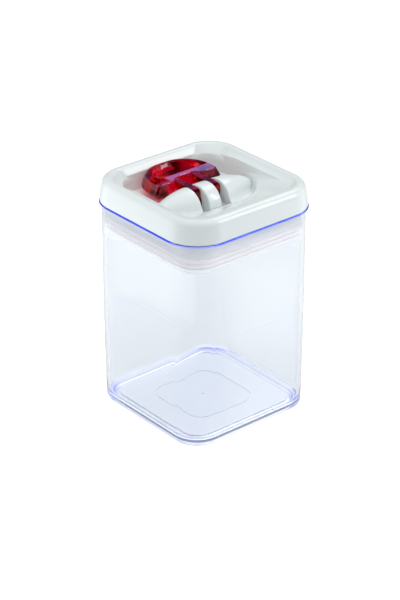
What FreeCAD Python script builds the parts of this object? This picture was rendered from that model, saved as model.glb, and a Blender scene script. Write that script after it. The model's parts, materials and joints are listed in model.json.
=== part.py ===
import FreeCAD, Part
import math
import os

# Square food canister with a flip-lever sealing lid.
# Millimetres. +Z is up, the origin is the centre of the base, and the lever's axle lies along X.

# Container
container_height = 142.5       # base to the top of the rim
container_width = 102.4        # outside of the walls at the mouth
container_corner = 18.5        # outside corner radius of the walls
container_wall = 2.0
container_draft = 0.5          # how far each wall leans in from mouth to base
floor_thickness = 3.0
foot_round = 2.0               # outside rounding where wall meets base
inner_foot_round = 4.0         # inside rounding where wall meets floor
foot_ring_width = 5.0
foot_recess = 0.8              # hollow under the floor inside the foot ring
rim_overhang = 2.8             # rim beyond the walls at the sides
rim_corner = 24.0
rim_thickness = 1.5

# Lid cover
lid_height = 14.9              # lower edge of the cover to its crest
lid_set_in = 0.3               # cover's lower edge inside the rim's edge
lid_corner = 24.0
lid_lean = 1.5                 # how far the sides lean in on the way up
crest_round = 4.5
cover_wall = 2.0
seat_gap = 0.3                 # clearance between the rim and the lid that rests on it
crest_width = 8.7              # outside of the cover's lower edge to the inside edge of its crest
basin_corner = 15.0
well_drop = 8.7                # crest to the edge of the well
well_depth = 7.0               # edge of the well to its floor
well_side_margin = 2.5         # basin's mouth to the edge of the well
well_back_margin = 1.5
well_front = -26.0
well_front_corner = 33.0
well_back_corner = 20.0
well_slope_side = 2.5          # how far the well's wall runs in at the sides
well_slope_front = 10.0        # and at the front, where it is a soft slope
well_slope_back = 1.0
hump_margin = 0.5              # tips of the barrel-shaped humps to the edge of the well
post_radius = 3.0              # posts that hold the cover to the plug
post_x = 26.0
post_y = 19.0
sleeve_height = 6.0             # of the sockets on the plug that the posts press into

# Hinge barrel, shared by humps, strap and lever knuckles
barrel_radius = 12.6
knuckle_inset = 0.3            # knuckles sit this much under the barrel's surface
strap_half_width = 4.8
knuckle_inner = 5.3
knuckle_outer = 10.9
side_gap = 0.3                 # knuckle to cheek
axle_radius = 2.0
axle_running_gap = 0.06
cheek_thickness = 2.5
cheek_half_width = 5.0         # along Y, below the axle
axle_chamfer = 0.3

# Cam and strap
seal_travel = 2.5              # how far the seal plate drops when the lever is up
cam_radius = 9.3
cam_gap = 0.3
cam_steps = 18                 # points along the spiral
cam_core_radius = 3.6          # round the axle, through the strap's side walls
strap_thickness = 3.0
strap_foot_width = 7.0
strap_side_wall = 1.2          # beside the cam
strap_crown_share = 0.64       # flat part of the hollow's top, of its half width
strap_foot_height = 5.0
screw_radius = 1.5
screw_head_radius = 2.8
screw_head_height = 1.7
screw_bite = 4.0
screw_head_gap = 0.2           # head to its recess
screw_gap = 0.06               # shank to its hole in the plate
screw_slot_half_width = 0.4
screw_slot_depth = 0.7
cap_margin = 2.1               # screw heads to the edge of the cap
cap_thickness = 1.4
cap_chamfer = 0.3

# Lever ring
ring_half_width = 26.0
ring_back_gap = 1.5            # ring to the well's edge behind it
ring_front_gap = 2.9           # ring to the barrel in front of it
ring_thickness = 9.3
ring_back_corner = 19.5
ring_front_corner = 5.0
ring_lean = 1.4                # how much smaller the ring is at its underside
finger_half_width = 17.0
bar_width = 8.5                # in front of the finger hole
bow_width = 3.5                # behind it
arm_overlap = 1.0              # arm ends this much before the finger hole
arm_rise = 3.1                 # arm's underside above the ring's
finger_back_corner = 11.0
finger_front_corner = 3.0
ring_edge_round = 1.0

# Plug, seal and seal plate
plug_depth = 11.5              # rim to the underside of the plug
plug_wall = 2.0
plug_floor = 1.7
plug_gap = 0.8                 # plug to the container's wall
plug_flange_thickness = 1.5
plug_flange_gap = 0.2          # flange to the cover that it fits in
sleeve_wall = 1.6
seal_height = 6.0
seal_width = 5.4
seal_wall_gap = 0.35
seal_plate_gap = 0.1
seal_groove_depth = 1.2
seal_groove_height = 1.44
plate_thickness = 3.0
plate_inset = 1.6              # plate to the container's wall
plate_edge_round = 1.2
locating_wall_height = 3.0
locating_wall = 1.6
plate_boss_height = 2.0
plate_boss_margin = 3.0        # boss beyond the cap

# Heights and positions that follow from the sizes above
rim_half = container_width / 2 + rim_overhang
lid_half = rim_half - lid_set_in
basin_half = lid_half - crest_width
well_half = basin_half - well_side_margin
well_back = basin_half - well_back_margin
hump_length = well_half - hump_margin
mouth_half = container_width / 2 - container_wall
mouth_corner = container_corner - container_wall
lid_base = container_height + seat_gap
lid_top = lid_base + lid_height
well_edge = lid_top - well_drop
well_floor = well_edge - well_depth
axle_height = well_floor
knuckle_radius = barrel_radius - knuckle_inset
cheek_inner = knuckle_outer + side_gap
axle_half_length = cheek_inner + cheek_thickness
plug_underside = container_height - plug_depth
plug_top_face = plug_underside + plug_floor
seal_top = plug_underside
seal_bottom = seal_top - seal_height
plate_top = seal_bottom - seal_plate_gap
plate_bottom = plate_top - plate_thickness
boss_top = plate_top + plate_boss_height
strap_inner = barrel_radius - strap_thickness
screw_place = barrel_radius - strap_foot_width / 2
cap_radius = screw_place + screw_head_radius + cap_margin
plate_boss_radius = cap_radius + plate_boss_margin
ring_front = barrel_radius + ring_front_gap
ring_back = well_back - ring_back_gap
finger_front = ring_front + bar_width
finger_back = ring_back - bow_width
ring_top = axle_height + knuckle_radius
ring_bottom = ring_top - ring_thickness
cam_half_width = strap_half_width - strap_side_wall - side_gap
far_away = 400.0
touching = 0.01                # to pick edges that lie on a plane
corner_room = 0.98             # most of a side that its two corners may take


def corner_arc(centre_x, centre_y, radius, start_degrees, height):
    """A quarter circle that turns anticlockwise from the start angle."""
    points = []
    for step in (0, 45, 90):
        angle = math.radians(start_degrees + step)
        x = centre_x + radius * math.cos(angle)
        y = centre_y + radius * math.sin(angle)
        points.append(FreeCAD.Vector(x, y, height))
    return Part.Arc(*points).toShape()


def outline(half_x, front, back, front_corner, back_corner, height):
    """A level rectangle with rounded corners, as a closed wire of four lines and four arcs.

    Corners that would overlap are made smaller in the same proportion."""
    fit_depth = corner_room * (back - front) / (front_corner + back_corner)
    fit_width = corner_room * half_x / max(front_corner, back_corner)
    fit = min(1.0, fit_depth, fit_width)
    front_corner = front_corner * fit
    back_corner = back_corner * fit
    arcs = [
        corner_arc(half_x - front_corner, front + front_corner, front_corner, 270, height),
        corner_arc(half_x - back_corner, back - back_corner, back_corner, 0, height),
        corner_arc(back_corner - half_x, back - back_corner, back_corner, 90, height),
        corner_arc(front_corner - half_x, front + front_corner, front_corner, 180, height),
    ]
    edges = []
    for index, arc in enumerate(arcs):
        following = arcs[(index + 1) % len(arcs)]
        line = Part.makeLine(arc.Vertexes[-1].Point, following.Vertexes[0].Point)
        edges.append(arc)
        edges.append(line)
    return Part.Wire(edges)


def square(half, corner, height):
    """A level square outline with rounded corners, centred on the axis."""
    return outline(half, -half, half, corner, corner, height)


def prism(wire, height):
    """The solid above a level wire."""
    return Part.Face(wire).extrude(FreeCAD.Vector(0, 0, height))


def block(x_low, x_high, y_low, y_high, z_low, z_high):
    """A plain box between two corners."""
    corner = FreeCAD.Vector(x_low, y_low, z_low)
    return Part.makeBox(x_high - x_low, y_high - y_low, z_high - z_low, corner)


def rod_along_x(x_low, x_high, radius, y=0.0, z=axle_height):
    """A cylinder whose axis runs along X."""
    start = FreeCAD.Vector(x_low, y, z)
    return Part.makeCylinder(radius, x_high - x_low, start, FreeCAD.Vector(1, 0, 0))


def peg(x, y, z_low, z_high, radius):
    """An upright cylinder."""
    return Part.makeCylinder(radius, z_high - z_low, FreeCAD.Vector(x, y, z_low))


def post_pegs(z_low, z_high, radius):
    """Four upright cylinders where the posts of the cover stand."""
    pegs = []
    for x in (-post_x, post_x):
        for y in (-post_y, post_y):
            pegs.append(peg(x, y, z_low, z_high, radius))
    return pegs


def mirrored_pair(shape):
    """The shape and its mirror image on the other side of the YZ plane."""
    return [shape, shape.mirror(FreeCAD.Vector(0, 0, 0), FreeCAD.Vector(1, 0, 0))]


def domed_block(half, corner, base, top, lean, edge_round):
    """A rounded-square block whose sides lean in and whose top edge is rounded."""
    wires = [square(half, corner, base), square(half - lean, corner - lean, top)]
    body = Part.makeLoft(wires, True, True)
    top_edges = [edge for edge in body.Edges if edge.BoundBox.ZMin > top - 0.01]
    return body.makeFillet(edge_round, top_edges)


def container_body():
    """Clear box with leaning walls, a hollow foot and a flat rim round the mouth."""
    half = container_width / 2
    base_half = half - container_draft
    base_corner = container_corner - container_draft
    foot = square(base_half, base_corner, 0)
    outer = Part.makeLoft([foot, square(half, container_corner, container_height)], True, True)
    outer = outer.makeFillet(foot_round, [edge for edge in outer.Edges if edge.BoundBox.ZMax < touching])
    inner_low = square(base_half - container_wall, base_corner - container_wall, floor_thickness)
    inner = Part.makeLoft([inner_low, square(mouth_half, mouth_corner, container_height)], True, True)
    low_edges = [edge for edge in inner.Edges if edge.BoundBox.ZMax < floor_thickness + touching]
    inner = inner.makeFillet(inner_foot_round, low_edges)
    rim = prism(square(rim_half, rim_corner, container_height - rim_thickness), rim_thickness)
    hollow_half = base_half - foot_ring_width
    hollow = prism(square(hollow_half, base_corner - foot_ring_width, 0), foot_recess)
    return outer.fuse(rim).cut(inner).cut(hollow).removeSplitter()


def basin(grow):
    """The hollow in the lid's top: a funnel from the crest to the well, then the well itself.

    The hollow's walls and floor are moved out by grow, which gives the lid's underside."""
    mouth = square(basin_half + grow, basin_corner + grow, lid_top)
    edge = outline(well_half + grow, well_front - grow, well_back + grow,
                   well_front_corner + grow, well_back_corner + grow, well_edge - grow)
    floor = outline(well_half - well_slope_side + grow,
                    well_front + well_slope_front - grow,
                    well_back - well_slope_back + grow,
                    well_front_corner - well_slope_front + grow,
                    well_back_corner - well_slope_back + grow,
                    well_floor - grow)
    funnel = Part.makeLoft([mouth, edge], True, True)
    well = Part.makeLoft([edge, floor], True, True)
    return funnel.fuse(well)


def barrel(radius, half_length):
    """A spindle: half an ellipse turned about the axle."""
    centre = FreeCAD.Vector(0, 0, axle_height)
    tip = FreeCAD.Vector(half_length, 0, axle_height)
    ellipse = Part.Ellipse(tip, FreeCAD.Vector(0, 0, axle_height + radius), centre)
    arc = Part.Arc(ellipse, 0, math.pi).toShape()
    axis = Part.makeLine(arc.Vertexes[-1].Point, arc.Vertexes[0].Point)
    face = Part.Face(Part.Wire([arc, axis]))
    return face.revolve(centre, FreeCAD.Vector(1, 0, 0), 360)


def hump():
    """The hollow hump on the +X side, with the cheek that holds the axle's end."""
    above_floor = block(cheek_inner, far_away, -far_away, far_away, well_floor - cover_wall, far_away)
    shell = barrel(barrel_radius, hump_length).common(above_floor)
    hollow = barrel(barrel_radius - cover_wall, hump_length - cover_wall)
    beyond_cheek = block(axle_half_length, far_away, -far_away, far_away, -far_away, far_away)
    cheek = block(cheek_inner, axle_half_length, -cheek_half_width, cheek_half_width,
                  plug_top_face + cam_gap, axle_height)
    saddle = block(0, axle_half_length, -axle_radius, axle_radius, 0, axle_height)
    bore = rod_along_x(0, axle_half_length, axle_radius)
    return shell.cut(hollow.common(beyond_cheek)).fuse(cheek).cut(saddle).cut(bore)


def lid_cover():
    """White cover: leaning sides, rounded crest, basin with well, and the two humps."""
    outside = domed_block(lid_half, lid_corner, lid_base, lid_top, lid_lean, crest_round)
    inside = domed_block(lid_half - cover_wall, lid_corner - cover_wall, lid_base,
                         lid_top - cover_wall, lid_lean, crest_round - cover_wall)
    cover = outside.cut(inside).fuse(basin(cover_wall))
    for post in post_pegs(plug_top_face, well_edge, post_radius):
        cover = cover.fuse(post)
    cover = cover.cut(basin(0))
    opening_half = barrel_radius + side_gap
    cover = cover.cut(block(-cheek_inner, cheek_inner, -opening_half, opening_half, 0, lid_top))
    for x_low, x_high in ((cheek_inner, hump_length), (-hump_length, -cheek_inner)):
        under_hump = barrel(barrel_radius - cover_wall, hump_length - cover_wall)
        cover = cover.cut(under_hump.common(block(x_low, x_high, -far_away, far_away, 0, axle_height)))
    for side in mirrored_pair(hump()):
        cover = cover.fuse(side)
    return cover.removeSplitter()


def lid_plug():
    """The tray under the cover: a flange that rests over the rim, a skirt and a floor with sleeves."""
    half = mouth_half - plug_gap
    corner = mouth_corner - plug_gap
    flange_half = lid_half - cover_wall - plug_flange_gap
    flange_corner = lid_corner - cover_wall - plug_flange_gap
    flange = prism(square(flange_half, flange_corner, lid_base), plug_flange_thickness)
    tray = prism(square(half, corner, plug_underside), lid_base + plug_flange_thickness - plug_underside)
    inside = prism(square(half - plug_wall, corner - plug_wall, plug_top_face), lid_height)
    plug = flange.fuse(tray).cut(inside)
    opening_half = barrel_radius + side_gap
    plug = plug.cut(block(-cheek_inner, cheek_inner, -opening_half, opening_half, 0, plug_top_face))
    for sleeve in post_pegs(plug_top_face, plug_top_face + sleeve_height, post_radius + sleeve_wall):
        plug = plug.fuse(sleeve)
    for post in post_pegs(plug_top_face, lid_top, post_radius):
        plug = plug.cut(post)
    rest_half = axle_radius - plug_flange_gap
    rest = block(cheek_inner + plug_flange_gap, axle_half_length, -rest_half, rest_half,
                 plug_top_face, axle_height - axle_radius)
    for side in mirrored_pair(rest):
        plug = plug.fuse(side)
    return plug.removeSplitter()


def lever_axle():
    """Pin that the lever turns on, held in the cheeks of the humps."""
    pin = rod_along_x(-axle_half_length, axle_half_length, axle_radius)
    return pin.makeChamfer(axle_chamfer, [edge for edge in pin.Edges if edge.BoundBox.XLength < touching])


def cam_hub():
    """Spiral cam inside the strap, on a core that joins the knuckles.

    The cam's radius grows evenly over the quarter turn that lifts the strap."""
    low = cam_radius - seal_travel
    rise = []
    for step in range(cam_steps + 1):
        angle = math.pi / 2 * step / cam_steps
        radius = low + seal_travel * step / cam_steps
        rise.append(FreeCAD.Vector(0, radius * math.cos(angle), axle_height + radius * math.sin(angle)))
    spiral = Part.BSplineCurve()
    spiral.interpolate(rise)
    centre = FreeCAD.Vector(0, 0, axle_height)
    nose_middle = centre + FreeCAD.Vector(0, -1, 1).normalize() * cam_radius
    nose_arc = Part.Arc(rise[-1], nose_middle, centre - FreeCAD.Vector(0, cam_radius, 0)).toShape()
    heel_start = centre - FreeCAD.Vector(0, low, 0)
    step_down = Part.makeLine(nose_arc.Vertexes[-1].Point, heel_start)
    heel_arc = Part.Arc(heel_start, centre - FreeCAD.Vector(0, 0, low), rise[0]).toShape()
    wire = Part.Wire([spiral.toShape(), nose_arc, step_down, heel_arc])
    hub = Part.Face(wire).extrude(FreeCAD.Vector(2 * cam_half_width, 0, 0))
    hub.translate(FreeCAD.Vector(-cam_half_width, 0, 0))
    return hub.fuse(rod_along_x(-knuckle_inner, knuckle_inner, cam_core_radius))


def lever_ring():
    """The finger ring: a thick loop with leaning walls and a half-moon finger hole."""
    top = outline(ring_half_width, ring_front, ring_back, ring_front_corner, ring_back_corner, ring_top)
    low = outline(ring_half_width - ring_lean, ring_front, ring_back - ring_lean,
                  ring_front_corner - ring_lean, ring_back_corner - ring_lean, ring_bottom)
    body = Part.makeLoft([low, top], True, True)
    top_edges = [edge for edge in body.Edges if edge.BoundBox.ZMin > ring_top - touching]
    body = body.makeFillet(ring_edge_round, top_edges)
    hole = prism(outline(finger_half_width, finger_front, finger_back, finger_front_corner,
                         finger_back_corner, ring_bottom), ring_thickness)
    return body.cut(hole)


def lever():
    """Red lever: ring, two arms, two knuckles round the axle and the cam hub between them."""
    body = lever_ring().fuse(cam_hub())
    knuckle = rod_along_x(knuckle_inner, knuckle_outer, knuckle_radius)
    knuckle = knuckle.cut(block(0, knuckle_outer, -far_away, far_away, 0, axle_height - cam_radius))
    knuckle = knuckle.cut(block(0, knuckle_outer, -far_away, -cam_core_radius, 0, far_away))
    arm_back = finger_front - arm_overlap
    arm = block(knuckle_inner, knuckle_outer, 0, arm_back, ring_bottom + arm_rise, ring_top)
    for piece in mirrored_pair(knuckle) + mirrored_pair(arm):
        body = body.fuse(piece)
    bore = rod_along_x(-knuckle_outer, knuckle_outer, axle_radius + axle_running_gap)
    return body.cut(bore).removeSplitter()


def draw_strap():
    """White strap over the cam, with side walls. Its two feet stand on the seal plate."""
    half = strap_half_width
    head = rod_along_x(-half, half, barrel_radius)
    head = head.common(block(-half, half, -far_away, far_away, axle_height, far_away))
    legs = block(-half, half, -barrel_radius, barrel_radius, boss_top, axle_height)
    strap = head.fuse(legs)
    inner_half = half - strap_side_wall
    flat_half = strap_inner * strap_crown_share
    foot_top = boss_top + strap_foot_height
    shoulder = FreeCAD.Vector(-inner_half, strap_inner, axle_height + flat_half)
    crown = FreeCAD.Vector(-inner_half, flat_half, axle_height + strap_inner)
    inside_points = [
        FreeCAD.Vector(-inner_half, strap_inner, foot_top), shoulder, crown,
        FreeCAD.Vector(-inner_half, -crown.y, crown.z),
        FreeCAD.Vector(-inner_half, -shoulder.y, shoulder.z),
        FreeCAD.Vector(-inner_half, -strap_inner, foot_top),
    ]
    inside_face = Part.Face(Part.makePolygon(inside_points + inside_points[:1]))
    inside = inside_face.extrude(FreeCAD.Vector(2 * inner_half, 0, 0))
    slot_half = cam_core_radius + cam_gap
    slot_top = axle_height + seal_travel
    slot = block(-half, half, -slot_half, slot_half, foot_top, slot_top)
    slot_end = rod_along_x(-half, half, slot_half)
    slot_end.translate(FreeCAD.Vector(0, 0, seal_travel))
    foot_inner = barrel_radius - strap_foot_width
    between_feet = block(-half, half, -foot_inner, foot_inner, boss_top, foot_top)
    strap = strap.cut(inside).cut(slot).cut(slot_end).cut(between_feet)
    for y in (-screw_place, screw_place):
        strap = strap.cut(peg(0, y, boss_top, boss_top + screw_bite, screw_radius))
    return strap.removeSplitter()


def seal_plate():
    """Flat plate under the seal, with a wall inside the seal and a boss for the strap's feet."""
    half = mouth_half - plate_inset
    corner = mouth_corner - plate_inset
    plate = prism(square(half, corner, plate_bottom), plate_thickness)
    low_edges = [edge for edge in plate.Edges if edge.BoundBox.ZMax < plate_bottom + touching]
    plate = plate.makeFillet(plate_edge_round, low_edges)
    wall_half = mouth_half - seal_wall_gap - seal_width - seal_plate_gap
    wall_corner = mouth_corner - seal_wall_gap - seal_width - seal_plate_gap
    wall = prism(square(wall_half, wall_corner, plate_top), locating_wall_height)
    wall = wall.cut(prism(square(wall_half - locating_wall, wall_corner - locating_wall, plate_top),
                          locating_wall_height))
    plate = plate.fuse(wall).fuse(peg(0, 0, plate_top, boss_top, plate_boss_radius))
    cap_top = plate_bottom + cap_thickness
    plate = plate.cut(peg(0, 0, plate_bottom, cap_top, cap_radius))
    for y in (-screw_place, screw_place):
        head_recess = peg(0, y, cap_top, cap_top + screw_head_height, screw_head_radius + screw_head_gap)
        plate = plate.cut(head_recess)
        plate = plate.cut(peg(0, y, cap_top, boss_top, screw_radius + screw_gap))
    return plate.removeSplitter()


def strap_screws():
    """Two screws that hold the strap's feet on the seal plate."""
    screws = []
    head_bottom = plate_bottom + cap_thickness
    head_top = head_bottom + screw_head_height
    for y in (-screw_place, screw_place):
        head = peg(0, y, head_bottom, head_top, screw_head_radius)
        head = head.cut(block(-screw_head_radius, screw_head_radius,
                              y - screw_slot_half_width, y + screw_slot_half_width,
                              head_bottom, head_bottom + screw_slot_depth))
        head = head.cut(block(-screw_slot_half_width, screw_slot_half_width,
                              y - screw_head_radius, y + screw_head_radius,
                              head_bottom, head_bottom + screw_slot_depth))
        screws.append(head.fuse(peg(0, y, head_top, boss_top + screw_bite, screw_radius)).removeSplitter())
    return Part.makeCompound(screws)


def screw_cap():
    """Disc that closes the recess under the seal plate."""
    disc = peg(0, 0, plate_bottom, plate_bottom + cap_thickness, cap_radius)
    low_edges = [edge for edge in disc.Edges if edge.BoundBox.ZMax < plate_bottom + touching]
    return disc.makeChamfer(cap_chamfer, low_edges)


def seal_ring():
    """Soft ring between plug and seal plate, with a groove round its outer face."""
    half = mouth_half - seal_wall_gap
    corner = mouth_corner - seal_wall_gap
    ring = prism(square(half, corner, seal_bottom), seal_height)
    ring = ring.cut(prism(square(half - seal_width, corner - seal_width, seal_bottom), seal_height))
    groove_low = seal_bottom + (seal_height - seal_groove_height) / 2
    groove = prism(square(half, corner, groove_low), seal_groove_height)
    groove = groove.cut(prism(square(half - seal_groove_depth, corner - seal_groove_depth, groove_low),
                              seal_groove_height))
    return ring.cut(groove)


os.makedirs("parts", exist_ok=True)
for make in (container_body, lid_cover, lid_plug, lever_axle, lever, draw_strap, seal_plate, strap_screws,
             screw_cap, seal_ring):
    solid = make()
    volume = round(solid.Volume, 1)
    print(make.__name__, "valid", solid.isValid(), "solids", len(solid.Solids), "volume", volume)
    solid.exportStep("parts/" + make.__name__ + ".step")
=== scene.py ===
import json
from math import cos, pi, radians, sin, sqrt

import bpy
import numpy as np
from bpy.props import FloatProperty, FloatVectorProperty, PointerProperty
from mathutils import Euler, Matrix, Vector


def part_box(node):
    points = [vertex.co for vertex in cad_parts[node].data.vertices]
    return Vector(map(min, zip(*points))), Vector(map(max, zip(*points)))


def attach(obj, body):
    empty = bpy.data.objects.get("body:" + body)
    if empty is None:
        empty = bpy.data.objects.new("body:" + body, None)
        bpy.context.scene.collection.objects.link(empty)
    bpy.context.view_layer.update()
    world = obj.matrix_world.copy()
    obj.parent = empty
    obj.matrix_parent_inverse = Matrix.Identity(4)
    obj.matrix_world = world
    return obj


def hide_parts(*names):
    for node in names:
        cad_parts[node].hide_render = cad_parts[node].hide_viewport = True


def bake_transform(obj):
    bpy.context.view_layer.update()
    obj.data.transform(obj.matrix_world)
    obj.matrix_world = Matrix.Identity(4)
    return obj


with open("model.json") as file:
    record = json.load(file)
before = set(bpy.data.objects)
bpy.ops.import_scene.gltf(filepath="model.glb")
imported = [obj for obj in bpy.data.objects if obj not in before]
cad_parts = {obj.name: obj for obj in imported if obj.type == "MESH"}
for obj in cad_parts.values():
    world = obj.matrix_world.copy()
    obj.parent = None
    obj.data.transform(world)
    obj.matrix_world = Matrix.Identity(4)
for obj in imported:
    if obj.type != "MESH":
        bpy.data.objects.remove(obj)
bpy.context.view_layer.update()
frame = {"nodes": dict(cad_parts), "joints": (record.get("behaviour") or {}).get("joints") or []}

bl_info = {
    "name": "Flip-lever canister",
    "version": (1, 0, 0),
    "blender": (4, 5, 0),
    "location": "3D View > Sidebar > Canister",
    "description": "Builds the visible pieces of a square food canister round its packed frame",
    "category": "Object",
}

MM = 0.001
BLACK = (0.0, 0.0, 0.0)

# steps along an outline's corner and side, and round the edge of a slab
CORNER_STEPS = 22
SIDE_STEPS = 22
EDGE_STEPS = 4

# lever: top of the finger ring above the axle, middle and half width of each arm and knuckle, knuckle's low flat
RING_TOP = 12.8 * MM
ARM_MIDDLE, ARM_HALF = 7.6 * MM, 2.1 * MM
KNUCKLE_MIDDLE, KNUCKLE_HALF = 8.1 * MM, 2.75 * MM
KNUCKLE_DROP = 9.25 * MM

# gaps from the plug, the seal and the seal plate to the container's wall, and the seal's width
PLUG_GAP = 0.8 * MM
SEAL_GAP = 0.35 * MM
SEAL_WIDTH = 5.4 * MM
PLATE_GAP = 1.6 * MM

# camera: place in metres, tilt below level and turn about Z in degrees, focal length in millimetres, and the level
# direction to its right
CAMERA_PLACE = (-0.76486, -0.91162, 0.69651)
CAMERA_TILT = 27.69
CAMERA_TURN = -39.89
CAMERA_LENS = 124.9
ACROSS_VIEW = np.array([0.7673, -0.6413])


def top_of(node):
    """Highest Z of a CAD node, in metres."""
    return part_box(node)[1][2]


def bottom_of(node):
    """Lowest Z of a CAD node, in metres."""
    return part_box(node)[0][2]


def reach_of(node, axis):
    """Furthest that a CAD node goes along +X (0) or +Y (1), in metres."""
    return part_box(node)[1][axis]


def hinge_height():
    """Height of the lever's axle, from the frame's own joint."""
    joint = next(j for j in frame["joints"] if j["name"] == "lever_flip")
    return joint["pos_m"][2]


def length(label, words, metres):
    """A length that a user may change."""
    return FloatProperty(name=label, description=words, default=metres, unit="LENGTH", precision=5)


def colour(label, words, value):
    """A colour that a user may change."""
    return FloatVectorProperty(name=label, description=words, default=value, subtype="COLOR", size=3,
                               min=0.0, max=1.0)


class CanisterSizes(bpy.types.PropertyGroup):
    """Sizes of the visible pieces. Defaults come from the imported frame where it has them."""
    wall: length("Wall", "Thickness of the clear walls", 2.0 * MM)
    wall_half: length("Half width at the mouth", "Outside of the walls to the axis, at the mouth", 51.2 * MM)
    wall_lean: length("Lean of the walls", "How far each wall leans in towards the base", 0.5 * MM)
    wall_corner: length("Wall corner", "Outside corner radius of the walls", 18.5 * MM)
    floor: length("Floor", "Height of the inside floor above the table", 3.0 * MM)
    rim_half: length("Rim half width", "Edge of the rim to the axis", reach_of("container_body", 0))
    rim_top: length("Rim top", "Height of the rim", top_of("container_body"))
    rim_corner: length("Rim corner", "Corner radius of the rim", 24.0 * MM)
    rim_thickness: length("Rim thickness", "Thickness of the rim", 1.5 * MM)
    lid_half: length("Lid half width", "Lower edge of the cover to the axis", reach_of("lid_cover", 0))
    lid_top: length("Lid top", "Height of the crest", top_of("lid_cover"))
    lid_base: length("Lid base", "Height of the cover's lower edge", top_of("container_body") + 0.3 * MM)
    lid_corner: length("Lid corner", "Corner radius of the cover's lower edge", 24.0 * MM)
    lid_lean: length("Lid lean", "How far the cover's sides lean in", 1.5 * MM)
    crest_round: length("Crest rounding", "Outside rounding of the crest", 4.5 * MM)
    basin_half: length("Basin half width", "Inside edge of the crest to the axis", 45.0 * MM)
    axle: length("Axle height", "Height of the lever's axle and of the well's floor", hinge_height())
    barrel: length("Barrel radius", "Radius of the humps and the strap about the axle", 12.6 * MM)
    seal_top: length("Seal top", "Height of the seal's upper face", top_of("seal_ring"))
    seal_bottom: length("Seal bottom", "Height of the seal's lower face", bottom_of("seal_ring"))
    plate_bottom: length("Plate bottom", "Height of the seal plate's lower face", bottom_of("seal_plate"))


class CanisterColours(bpy.types.PropertyGroup):
    """Colours of the finishes."""
    clear: colour("Clear plastic", "Tint of the clear walls", (0.955, 0.968, 0.985))
    # the edge colour also colours the painted blue glow along the edges
    edge: colour("Edge tint", "Tint that light gathers along the clear plastic's edges", (0.02, 0.05, 0.77))
    white: colour("White plastic", "Cover and strap", (0.785, 0.825, 0.82))
    insert: colour("Insert", "Plug of the lid", (0.86, 0.86, 0.87))
    silicone: colour("Silicone", "Seal ring", (0.86, 0.83, 0.85))
    red: colour("Red plastic", "Lever", (0.66, 0.002, 0.018))
    steel: colour("Steel", "Axle and screws", (0.62, 0.62, 0.64))
    table: colour("Table", "Floor under the canister", (0.85, 0.862, 0.875))


def sizes():
    """The scene's sizes."""
    return bpy.context.scene.canister_sizes


def colours():
    """The scene's colours."""
    return bpy.context.scene.canister_colours


# ---------------------------------------------------------------- shader maths

class Value:
    """A shader number. Sums and products of it add Math nodes."""

    def __init__(self, finish, socket):
        self.finish = finish
        self.socket = socket

    def maths(self, operation, first, second):
        """A Math node of two numbers or values."""
        node = self.finish.node("ShaderNodeMath", {"operation": operation}, {0: first, 1: second})
        return Value(self.finish, node.outputs[0])

    def __add__(self, other):
        return self.maths("ADD", self, other)

    __radd__ = __add__

    def __mul__(self, other):
        return self.maths("MULTIPLY", self, other)

    __rmul__ = __mul__

    def __sub__(self, other):
        return self.maths("SUBTRACT", self, other)

    def __rsub__(self, other):
        return self.maths("SUBTRACT", other, self)


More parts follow.
